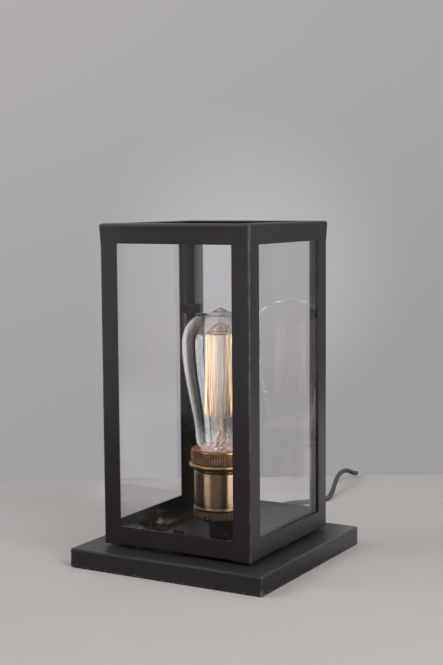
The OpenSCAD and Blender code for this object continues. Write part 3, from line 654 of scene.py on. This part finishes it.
class Recipe(Maker):
    """A Geometry Nodes tree. Its inputs are named, and a modifier sets them by identifier."""

    def __init__(self, name, **inputs):
        self.tree = bpy.data.node_groups.new(name, "GeometryNodeTree")
        face = self.tree.interface
        face.new_socket("Geometry", in_out="OUTPUT", socket_type="NodeSocketGeometry")
        face.new_socket("Geometry", in_out="INPUT", socket_type="NodeSocketGeometry")
        self.keys = {
            label: face.new_socket(label, in_out="INPUT", socket_type="NodeSocket" + kind).identifier
            for label, kind in inputs.items()
        }
        self.start = self.tree.nodes.new("NodeGroupInput")
        self.end = self.tree.nodes.new("NodeGroupOutput")

    def take(self, label):
        return Value(self, self.start.outputs[label])

    def index(self):
        return self.node("GeometryNodeInputIndex")

    def jitter(self, seed):
        """A random number from -1 to 1 for each element, the same in every run."""
        return self.node("FunctionNodeRandomValue", sockets={2: -1.0, 3: 1.0, "Seed": seed}, out=1)

    def row(self, count):
        """Points that all start at the origin, each with its own index."""
        return self.node("GeometryNodeMeshLine", sockets={"Count": count, "Offset": (0, 0, 0)})

    def sweep(self, lines, radius, sides=8):
        """Round wires along the edges of a mesh."""
        curve = self.node("GeometryNodeMeshToCurve", sockets={"Mesh": lines})
        round_wire = self.node("GeometryNodeCurvePrimitiveCircle", sockets={
            "Resolution": sides, "Radius": radius})
        return self.node("GeometryNodeCurveToMesh", sockets={
            "Curve": curve, "Profile Curve": round_wire, "Fill Caps": True})

    def finish(self, geometry):
        real = self.node("GeometryNodeRealizeInstances", sockets={0: geometry})
        done = self.node("GeometryNodeSetMaterial", sockets={0: real, "Material": self.take("Material")})
        self.tree.links.new(done.socket, self.end.inputs[0])

    def grow(self, name, mesh=None, **values):
        """Runs the tree on a mesh and returns the result as a plain object."""
        obj = add(name, mesh or bpy.data.meshes.new(name))
        modifier = obj.modifiers.new("grow", "NODES")
        modifier.node_group = self.tree
        for label, value in values.items():
            modifier[self.keys[label]] = value
        return to_mesh(obj)


# %% [markdown]
# One tree winds the filament up and down between two circles: every second corner is at the
# bottom. `Gap` is the open angle where the two leads come up, and `Slack` shifts each corner a
# little, as in a thread that was hung by hand. The other tree repeats a swept line round an
# axis, evenly or a little unevenly. Both get their sizes, their seed and their material from
# named inputs.

# %% Repeating trees


def zigzag_tree():
    tree = Recipe("zigzag wire", Strands="Int", Gap="Float", Top_Radius="Float", Bottom_Radius="Float",
                  Top="Float", Bottom="Float", Wire="Float", Slack="Float", Seed="Int", Material="Material")
    strands, top, top_radius = tree.take("Strands"), tree.take("Top"), tree.take("Top_Radius")
    index = tree.index()
    odd = index % 2
    share = (index + tree.jitter(tree.take("Seed")) * tree.take("Slack")) / strands - 0.5
    angle = share * (2 * math.pi - tree.take("Gap"))
    radius = top_radius + odd * (tree.take("Bottom_Radius") - top_radius)
    height = top + odd * (tree.take("Bottom") - top)
    corner = tree.node("ShaderNodeCombineXYZ", sockets={
        0: radius * angle.cosine(), 1: radius * angle.sine(), 2: height})
    placed = tree.node("GeometryNodeSetPosition", sockets={
        "Geometry": tree.row(strands + 1), "Position": corner})
    tree.finish(tree.sweep(placed, tree.take("Wire"), 6))
    return tree


def wheel_tree():
    tree = Recipe("wires round an axis", Count="Int", Wire="Float", Unevenness="Float", Seed="Int",
                  Material="Material")
    count = tree.take("Count")
    spoke = tree.sweep(tree.take("Geometry"), tree.take("Wire"))
    shift = tree.jitter(tree.take("Seed")) * tree.take("Unevenness")
    angle = (tree.index() + shift) * (2 * math.pi) / count
    turn = tree.node("FunctionNodeAxisAngleToRotation", sockets={"Axis": (0, 0, 1), "Angle": angle})
    tree.finish(tree.node("GeometryNodeInstanceOnPoints", sockets={
        "Points": tree.row(count), "Instance": spoke, "Rotation": turn}))
    return tree


zigzag = zigzag_tree()
wheel = wheel_tree()
print("trees:", zigzag.tree.name, "and", wheel.tree.name)

# %% [markdown]
# The holder and the bulb stand on one upright axis. Their details are made round the origin,
# where a tree can turn them, and `settle` then joins them and moves them to that axis.

# %% Holder's axis
shell_low, shell_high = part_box("holder_shell")
shell_middle = (shell_low + shell_high) / 2 / MM
HOLDER_AXIS = Vector((shell_middle.x, shell_middle.y, 0))


def wire_mesh(name, *lines, closed=False):
    """A mesh of lines; a point is a radius and a height in millimetres, and an angle in degrees."""
    points, edges = [], []
    for line in lines:
        first, count = len(points), len(line)
        for radius, height, *angle in line:
            turn = math.radians(sum(angle))
            points.append(Vector((radius * math.cos(turn), radius * math.sin(turn), height)) * MM)
        edges += [(first + i, first + (i + 1) % count) for i in range(count if closed else count - 1)]
    mesh = bpy.data.meshes.new(name)
    mesh.from_pydata(points, edges, [])
    return mesh


def settle(name, body, node, pieces):
    """Joins pieces made round the holder's axis into one at its place, for one CAD node."""
    whole = bmesh.new()
    materials = []
    for piece in pieces:
        part = piece.data
        shift = len(materials)
        materials += list(part.materials)
        for face in part.polygons:
            face.material_index += shift
        whole.from_mesh(part)
        bpy.data.objects.remove(piece)
    bmesh.ops.translate(whole, vec=HOLDER_AXIS * MM, verts=whole.verts)
    mesh = bpy.data.meshes.new(name)
    whole.to_mesh(mesh)
    whole.free()
    for material in materials:
        mesh.materials.append(material)
    made = add(name, mesh)
    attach(made, body)
    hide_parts(node)
    print(name, "has", len(mesh.polygons), "faces")
    return made


print("the holder's axis is at", [round(v, 2) for v in HOLDER_AXIS])

# %% [markdown]
# The filament hangs like a cage: it runs up and down between hooks. Above it an umbrella of warm
# wires spreads from the glass rod, with a ring that ties the hooks. Below it short arms reach
# out from the stem. A spoke of the umbrella, or an arm, is drawn once as a line of radii and
# heights, and the wheel tree sweeps it and repeats it.

# %% Filament and its supports
cage_low, cage_high = (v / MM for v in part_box("filament"))
CAGE_TOP, CAGE_BOTTOM = cage_high.z, cage_low.z
STRANDS = 26
HOOKS = STRANDS // 2
TOP_RADIUS, BOTTOM_RADIUS = 11.9, 14.1
GAP = 0.34
TIE_SIDES, TIE_HEIGHT = 48, CAGE_TOP + 0.2

cage = zigzag.grow(
    "filament strands", Strands=STRANDS, Gap=GAP, Top_Radius=TOP_RADIUS * MM,
    Bottom_Radius=BOTTOM_RADIUS * MM, Top=CAGE_TOP * MM, Bottom=CAGE_BOTTOM * MM, Wire=0.17 * MM,
    Slack=0.3, Seed=11, Material=filament_glow)
umbrella = wheel.grow(
    "umbrella", wire_mesh("umbrella", [
        (1.0, CAGE_TOP + 8.4), (3.4, CAGE_TOP + 7.6), (7.4, CAGE_TOP + 4.6), (10.6, CAGE_TOP + 1.6),
        (12.3, CAGE_TOP - 1.0), (11.8, CAGE_TOP - 1.4)]),
    Count=HOOKS, Wire=0.28 * MM, Unevenness=0.12, Seed=3, Material=warm_wire)
arms = wheel.grow(
    "arms", wire_mesh("arms", [
        (0.8, CAGE_BOTTOM - 3.2), (7, CAGE_BOTTOM - 2.2), (13.2, CAGE_BOTTOM - 0.4),
        (14.5, CAGE_BOTTOM + 0.9), (14.0, CAGE_BOTTOM + 1.3)]),
    Count=HOOKS, Wire=0.12 * MM, Unevenness=0.12, Seed=5, Material=warm_wire)
tie_line = [(TOP_RADIUS, TIE_HEIGHT, 360 * i / TIE_SIDES) for i in range(TIE_SIDES)]
tie = wheel.grow("tie", wire_mesh("tie", tie_line, closed=True), Count=1, Wire=0.34 * MM,
                 Unevenness=0.0, Seed=1, Material=tie_wire)
settle("filament_cage", "bulb", "filament", [cage])

# %% [markdown]
# Inside the stem a few golden wires twist together. One of them is a line that turns as it
# rises, and the wheel tree repeats it unevenly. From the stem's top two leads go out, one to
# each side of the filament's gap, and up to its ends.

# %% Stem wires
STEM_TOP = 106.5
LEAD_TURN = math.degrees(math.pi - GAP / 2)

twisted = wheel.grow(
    "twisted wires", wire_mesh("twisted", [
        (3.6, 83, 0), (3.0, 86, 50), (3.3, 89, 110), (2.6, 92, 160), (3.0, 95, 230), (2.2, 98, 290),
        (2.6, 101, 350), (1.7, 104, 420), (1.3, 107.5, 470)]),
    Count=5, Wire=0.4 * MM, Unevenness=0.5, Seed=2, Material=gold_wire)
lead_lines = [
    [(1.2, STEM_TOP, turn), (6, STEM_TOP + 6, turn), (TOP_RADIUS, CAGE_BOTTOM + 1.5, turn),
     (TOP_RADIUS, CAGE_TOP, turn)]
    for turn in (-LEAD_TURN, LEAD_TURN)
]
leads = wheel.grow("leads", wire_mesh("leads", *lead_lines), Count=1, Wire=0.2 * MM,
                   Unevenness=0.0, Seed=1, Material=warm_wire)
settle("filament_wires", "bulb", "filament_supports",
       [umbrella, arms, tie, twisted, leads])

# %% [markdown]
# The rings' brass has darkened with age in patches. Their band is painted dark, as painted shade in
# the grooves between the ridges and under the shade ring's lip, and the ridges stay paler; the lower
# ring's ridges are painted paler still, as a painted highlight. The shade ring's lip below is
# painted light, as a painted highlight, and its rim and inside on top are painted copper, as a
# painted reflection of the filament's warm glow. Heights and a distance from the axis tell where
# these are, so one function paints the band and the ridges.

# %% Ring brass
shade_low, shade_high = (v.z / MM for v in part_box("shade_ring"))
lower_low, lower_high = (v.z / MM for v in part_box("lower_ring"))
# Painted highlight on the shade ring's lip, lighter than the brass.
LIP_HIGHLIGHT = srgb(216, 176, 124)
# Painted reflection of the filament's warm glow on the shade ring's top rim and inside.
RIM_GLOW_REFLECTION = srgb(196, 134, 88)
INNER_WALL = (20.8, 21.4)
BETWEEN_RINGS = 60


def ring_brass(name, first, second, trims=False):
    """Aged brass; trims adds the shade ring's painted lip highlight and its copper rim, a painted
    reflection of the filament's glow.
    """
    paint = Paint(name)
    where = paint.place()
    x, y, z = paint.axes(where)
    patches = paint.noise(where, 0.2, detail=5)
    colour = paint.blend(paint.fade(patches, 0.35, 0.7), first, second)
    if trims:
        above_lip = paint.fade(z, shade_low + 4.6, shade_low + 5.4)
        # The lip is painted lighter, as a painted highlight.
        lip = paint.fade(z, shade_low + 1, shade_low + 2) * (1 - above_lip)
        inside = 1 - paint.fade(away(x - HOLDER_AXIS.x, y - HOLDER_AXIS.y), *INNER_WALL)
        # The rim and inner wall are painted copper, as a painted reflection of the filament's glow.
        rim = paint.fade(z, shade_high - 2.2, shade_high - 1.4).high(inside)
        on_shade_ring = paint.fade(z, BETWEEN_RINGS, BETWEEN_RINGS + 1)
        colour = paint.blend(rim * on_shade_ring, paint.blend(lip, colour, LIP_HIGHLIGHT), RIM_GLOW_REFLECTION)
    return paint.finish(paint.surface(
        Base_Color=colour,
        Metallic=1.0,
        Roughness=0.24 + 0.1 * patches,
        Normal=paint.bump(patches, 0.05),
    ))


# The band's dark colour is painted shade in the knurl's grooves and under the lip; the lower ring's very
# pale ridges are a painted highlight.
shaded_band_brass = ring_brass("shaded band brass", srgb(64, 48, 36), srgb(40, 29, 22), trims=True)
ridge_brass = ring_brass("ridge brass", srgb(184, 148, 116), srgb(140, 110, 84))
highlit_ridge_brass = ring_brass("highlit ridge brass", srgb(244, 214, 182), srgb(206, 170, 138))
print("ring finishes:", [m.name for m in (shaded_band_brass, ridge_brass, highlit_ridge_brass)])

# %% [markdown]
# Each knurled ring is a turned band with a ridge repeated all round. On the lathe the band is
# one outline of radii and heights. `lathe` turns it, and the wheel tree lays thin round wires on
# it as ridges, which is how a straight knurl looks at this size.

# %% Knurled rings
LATHE_SIDES = 128
SHARP = 35
RIDGE = 0.4


def lathe(name, profile, material):
    """A turned piece: a closed profile of radii and heights in millimetres, round its own axis."""
    count = len(profile)
    turns = [2 * math.pi * i / LATHE_SIDES for i in range(LATHE_SIDES)]
    points = [Vector((r * math.cos(t), r * math.sin(t), z)) * MM for t in turns for r, z in profile]
    faces = []
    for i in range(LATHE_SIDES):
        here, there = i * count, (i + 1) % LATHE_SIDES * count
        for j in range(count):
            above = (j + 1) % count
            faces.append((here + j, there + j, there + above, here + above))
    mesh = bpy.data.meshes.new(name)
    mesh.from_pydata(points, [], faces)
    mesh.materials.append(material)
    for face in mesh.polygons:
        face.use_smooth = True
    mesh.set_sharp_from_angle(angle=math.radians(SHARP))
    return add(name, mesh)


def knurled_ring(name, node, profile, radius, low, high, count, finish):
    """A band with count ridges between two heights, all at one radius."""
    band = lathe(name + " band", profile, shaded_band_brass)
    ridges = wheel.grow(name + " ridges", wire_mesh(name, [(radius, low), (radius, high)]),
                        Count=count, Wire=RIDGE * MM, Unevenness=0.0, Seed=1, Material=finish)
    return settle(name, "lamp", node, [band, ridges])


upper = knurled_ring("upper_knurled_ring", "shade_ring", [
    (21.1, shade_low), (24.9, shade_low), (26.3, shade_low + 0.9), (27.2, shade_low + 2.4),
    (27.4, shade_low + 3.6), (26.8, shade_low + 4.6), (25.6, shade_low + 5.2), (25.5, shade_low + 6),
    (25.5, shade_high - 1.9), (25.4, shade_high - 1.7), (25.3, shade_high - 0.7),
    (24.6, shade_high), (22.9, shade_high), (21.1, shade_high - 0.9), (20.9, shade_high - 2.0),
    (18.2, shade_high - 4.0), (15.6, shade_high - 6.6), (15.6, shade_high - 8.2),
    (21.1, shade_high - 8.2),
], radius=25.68, low=shade_low + 5.8, high=shade_high - 2.2, count=116, finish=ridge_brass)
lower = knurled_ring("lower_knurled_ring", "lower_ring", [
    (20.8, lower_low), (23.2, lower_low), (23.8, lower_low + 0.7), (23.8, lower_high - 0.7),
    (23.9, lower_high), (20.8, lower_high),
], radius=24.08, low=lower_low + 1.1, high=lower_high - 0.9, count=108, finish=highlit_ridge_brass)

# %% [markdown]
# The neck under the holder is a turned bell with a bead at its foot, in a nearly black bronze
# that is polished enough to show a soft band of light. It is one more outline for the lathe.

# %% Bell neck
neck_low, neck_high = (v.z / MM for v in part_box("holder_neck"))
bronze = metal("bronzed neck", srgb(46, 36, 26), srgb(22, 17, 13), 0.16, 0.9, bump=0.02)
neck = lathe("neck", [
    (5.2, neck_low), (11.9, neck_low), (12.3, neck_low + 0.7), (11.4, neck_low + 1.5),
    (11.5, neck_low + 2.2), (11.9, neck_low + 3.0), (12.0, neck_low + 3.9), (11.5, neck_low + 5.0),
    (11.2, neck_high - 10.5), (12.4, neck_high - 7), (14.6, neck_high - 4.6),
    (17.6, neck_high - 2.8), (20.6, neck_high - 1.5), (22.4, neck_high - 0.6), (22.4, neck_high),
    (5.2, neck_high),
], bronze)
bell_neck = settle("bell_neck", "lamp", "holder_neck", [neck])

# %% [markdown]
# The wall isn't part of the lamp. It stands on the table's back edge, which runs askew.
# It gives the camera, mirrors and glass its own grey, painted with light: darker to the right and
# towards the bottom, and with a soft painted pool of light behind the lamp. The studio light
# passes through it. Seen from behind it is clear, so the lamp can be looked at from all sides.

# %% Wall
TABLE_EDGE = 370.6
TABLE_SLOPE = 0.64
WALL_LEFT, WALL_RIGHT, WALL_TOP = -900, 620, 900
SHADE_LEFT, SHADE_RIGHT, SHADE_TOP = -520, 420, 560
SPOT_X, SPOT_Z, SPOT_NARROWING = -125, 224, 1.4 ** 0.5
SPOT_FULL, SPOT_GONE, SPOT_SHARE = 30, 190, 0.42


def stage_plane(name, corners, material):
    """A flat face of the backdrop, by its corners in millimetres."""
    mesh = bpy.data.meshes.new(name)
    mesh.from_pydata([Vector(c) * MM for c in corners], [], [range(len(corners))])
    mesh.materials.append(material)
    obj = add(name, mesh)
    return obj


def wall_y(x):
    return TABLE_EDGE + TABLE_SLOPE * x


def wall_paint():
    paint = Paint("wall paint")
    x, _, z = paint.axes(paint.place())
    # Painted light: the grey is darker to the right and towards the bottom, with a painted pool of light
    # behind the lamp.
    sideways = paint.fade(x, SHADE_LEFT, SHADE_RIGHT)
    low = paint.blend(sideways, srgb(164, 162, 164), srgb(153, 151, 152))
    high = paint.blend(sideways, srgb(178, 174, 177), srgb(165, 163, 165))
    colour = paint.blend(paint.fade(z, 0, SHADE_TOP), low, high)
    from_spot = away((x - SPOT_X) * SPOT_NARROWING, z - SPOT_Z)
    spot = 1 - paint.fade(from_spot, SPOT_FULL, SPOT_GONE)
    front = paint.light(paint.blend(spot * SPOT_SHARE, colour, srgb(206, 204, 208)))
    seen = paint.ray("Is Camera Ray").high(paint.ray("Is Glossy Ray")).high(
        paint.ray("Is Transmission Ray"))
    return paint.finish(paint.mix((1 - seen).high(paint.behind()), front, paint.clear()))


stage_plane("wall", [
    (WALL_LEFT, wall_y(WALL_LEFT), 0), (WALL_RIGHT, wall_y(WALL_RIGHT), 0),
    (WALL_RIGHT, wall_y(WALL_RIGHT), WALL_TOP), (WALL_LEFT, wall_y(WALL_LEFT), WALL_TOP),
], wall_paint())
print("the table ends", wall_y(0), "mm behind the lamp's middle")

# %% [markdown]
# The table is a plain, dull, pale surface that takes the lamp's soft shadow, with a painted pool
# of light behind the lamp. Mirrors see a stand-in for it instead, which is dark except to the
# right and far behind, because that keeps the foot of the brass and of the glass dark.

# %% Table
TABLE_SIZE = 4000
POOL_X, POOL_Y = -130, 215
POOL_FULL, POOL_GONE, POOL_SHARE = 60, 150, 0.6


def table_paint():
    paint = Paint("table paint")
    where = paint.place()
    x, y, _ = paint.axes(where)
    grain = paint.noise(where, 0.01, detail=2)
    top = paint.blend(grain, srgb(193, 191, 187), srgb(199, 198, 195))
    # Painted pool of light on the table behind the lamp.
    pool = 1 - paint.fade(away(x - POOL_X, y - POOL_Y), POOL_FULL, POOL_GONE)
    table = paint.surface(
        Base_Color=paint.blend(pool * POOL_SHARE, top, srgb(240, 236, 232)),
        Roughness=0.8,
        Specular_IOR_Level=0.0,
    )
    far_right = paint.fade(x * 0.8 + y * 0.3, 80, 110)
    stand_in = paint.light(paint.blend(far_right, srgb(84, 78, 74), srgb(176, 174, 172)))
    return paint.finish(paint.mix(paint.ray("Is Glossy Ray"), table, stand_in))


stage_plane("floor", [
    (-TABLE_SIZE, -TABLE_SIZE, 0), (TABLE_SIZE, -TABLE_SIZE, 0), (TABLE_SIZE, TABLE_SIZE, 0),
    (-TABLE_SIZE, TABLE_SIZE, 0),
], table_paint())
print("the table is", 2 * TABLE_SIZE * MM, "m wide")

# %% [markdown]
# Brass, glass and satin paint show what stands round the lamp more than they show light. A ring
# of soft boxes and dark gaps, which only mirrors see, draws the long bright bands on the brass.
# Each stop is an angle from the camera's direction, in degrees to the right, and a brightness.
# The low boxes stand beside the brass holder and the high ones beside the bulb and the panes.

# %% Soft boxes for mirrors
RING_RADIUS, RING_HEIGHT, RING_SIDES = 250, 700, 96
CAMERA_AZIMUTH = -60.2
BRIGHTEST = 2.5
LOW_END, HIGH_START = 70, 130
LOW_BOXES = [
    (-180, 0.1), (-162, 0.12), (-150, 0.35), (-126, 0.35), (-118, 0.05),
    (-72, 0.05), (-67, 0.15), (-61, 0.15), (-56, 0.05), (-5, 0.05), (8, 0.1),
    (14, 0.8), (50, 0.8), (62, 0.35), (112, 0.35), (124, 1.0), (146, 1.0), (152, 0.2), (180, 0.1),
]
HIGH_BOXES = [
    (-180, 0.5), (-126, 0.55), (-120, 0.2), (-92, 0.2), (-88, 0.8), (-69, 0.8), (-65, 0.25),
    (-38, 0.2), (-30, 0.6), (-8, 0.6), (-4, 0.12), (6, 0.12), (12, 1.8), (45, 1.8), (55, 0.45),
    (85, 0.4), (105, 0.2), (122, 0.2), (128, 0.6), (146, 0.6), (152, 0.25), (180, 0.35),
]


def ring_paint():
    """Soft boxes for mirrors only, by the angle round the lamp from the camera's direction."""
    paint = Paint("soft boxes")
    where = paint.place()
    turned = paint.node("ShaderNodeMapping", sockets={
        "Vector": where, "Rotation": (0, 0, -math.radians(CAMERA_AZIMUTH))})
    turn = paint.node("ShaderNodeTexGradient", {"gradient_type": "RADIAL"}, {"Vector": turned}, out=1)
    low, high = (
        paint.ramp(turn, *[(0.5 + angle / 360, [level / BRIGHTEST] * 3 + [1]) for angle, level in boxes])
        for boxes in (LOW_BOXES, HIGH_BOXES)
    )
    height = paint.axes(where)[2]
    lit = paint.light(paint.blend(paint.fade(height, LOW_END, HIGH_START), low, high), BRIGHTEST)
    seen = paint.ray("Is Glossy Ray") * (1 - paint.behind())
    return paint.finish(paint.mix(seen, paint.clear(), lit))


def reflector_ring():
    turns = [2 * math.pi * i / RING_SIDES for i in range(RING_SIDES)]
    corners = [Vector((RING_RADIUS * math.cos(t), RING_RADIUS * math.sin(t), z)) * MM
               for z in (0, RING_HEIGHT) for t in turns]
    faces = []
    for i in range(RING_SIDES):
        following = (i + 1) % RING_SIDES
        faces.append((i, i + RING_SIDES, following + RING_SIDES, following))
    mesh = bpy.data.meshes.new("reflector ring")
    mesh.from_pydata(corners, [], faces)
    mesh.materials.append(ring_paint())
    add("reflector ring", mesh)


reflector_ring()
print("soft boxes:", len(LOW_BOXES), "low stops,", len(HIGH_BOXES), "high ones")

# %% [markdown]
# The studio light is soft: a pale world from all around, a large panel high on the right, which
# draws the highlight on the front post's fold, and one on the left.

# %% Studio light
WORLD_COLOUR = srgb(174, 171, 174)
AIM = (0, 0, 0.1)


def make_world():
    world = bpy.data.worlds.new("studio")
    world.use_nodes = True
    tree = world.node_tree
    tree.nodes.clear()
    output = tree.nodes.new("ShaderNodeOutputWorld")
    back = tree.nodes.new("ShaderNodeBackground")
    back.inputs["Color"].default_value = WORLD_COLOUR
    back.inputs["Strength"].default_value = 1.0
    tree.links.new(back.outputs[0], output.inputs["Surface"])
    bpy.context.scene.world = world


def panel(name, place, target, size, power):
    """An area light of a size in metres and a power in watts, turned to a target."""
    data = bpy.data.lights.new(name, "AREA")
    data.shape = "RECTANGLE"
    data.size, data.size_y = size
    data.energy = power
    lamp = add(name, data)
    lamp.location = place
    lamp.rotation_euler = (Vector(target) - Vector(place)).to_track_quat("-Z", "Y").to_euler()
    return lamp


make_world()
right_panel = panel("right panel", (1.3, -0.6, 1.1), AIM, (1.0, 1.4), 15)
left_panel = panel("left panel", (-1.3, -1.0, 1.4), AIM, (1.0, 1.0), 12)
bpy.context.scene.view_settings.view_transform = "Standard"
print("panels:", right_panel.data.energy, "W on the right,", left_panel.data.energy, "W on the left")

# %% [markdown]
# In a studio, small white cards close to brass and glass draw one highlight each. Here a card is
# an area light between two angles from the camera's direction. Light linking lets it shine on
# the brass alone or on the bulb's glass alone, and it is hidden from the camera and from rays
# that look through glass.

# %% Cards for brass and bulb
CARD_RADIUS = 200
WHITE, CREAM, IVORY, COOL = (1, 1, 1), (1.0, 0.86, 0.74), (1.0, 0.95, 0.84), (0.93, 0.97, 1.0)


def only_for(name, *pieces):
    """A group of pieces that a card may light."""
    group = bpy.data.collections.new(name)
    for piece in pieces:
        group.objects.link(piece)
    return group


def card(name, left, right, high, level, tint, only):
    """A card from the table up to a height, which lights only some pieces."""
    turn = math.radians(CAMERA_AZIMUTH + (left + right) / 2)
    outward = Vector((math.cos(turn), math.sin(turn), 0))
    width = 2 * CARD_RADIUS * math.tan(math.radians((right - left) / 2)) * MM
    middle = outward * CARD_RADIUS * MM + Vector((0, 0, high / 2)) * MM
    lamp = panel(name, middle, middle - outward, (width, high * MM), level * math.pi * width * high * MM)
    lamp.data.color = tint
    lamp.visible_camera = lamp.visible_transmission = False
    lamp.light_linking.receiver_collection = only


bulb_only = only_for("bulb only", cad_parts["bulb_glass"])
brass_only = only_for("brass only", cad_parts["holder_shell"], upper, lower, bell_neck)
card("bulb highlight", -84, -50, 250, 11.0, COOL, bulb_only)
card("bulb sheen", -50, 30, 280, 5.0, CREAM, bulb_only)
card("bulb rim", -150, -112, 300, 1.1, IVORY, bulb_only)
card("brass left", -88, -48, 300, 1.2, WHITE, brass_only)
card("brass middle", -48, -3, 300, 0.2, WHITE, brass_only)
card("brass right", 12, 56, 300, 1.6, WHITE, brass_only)
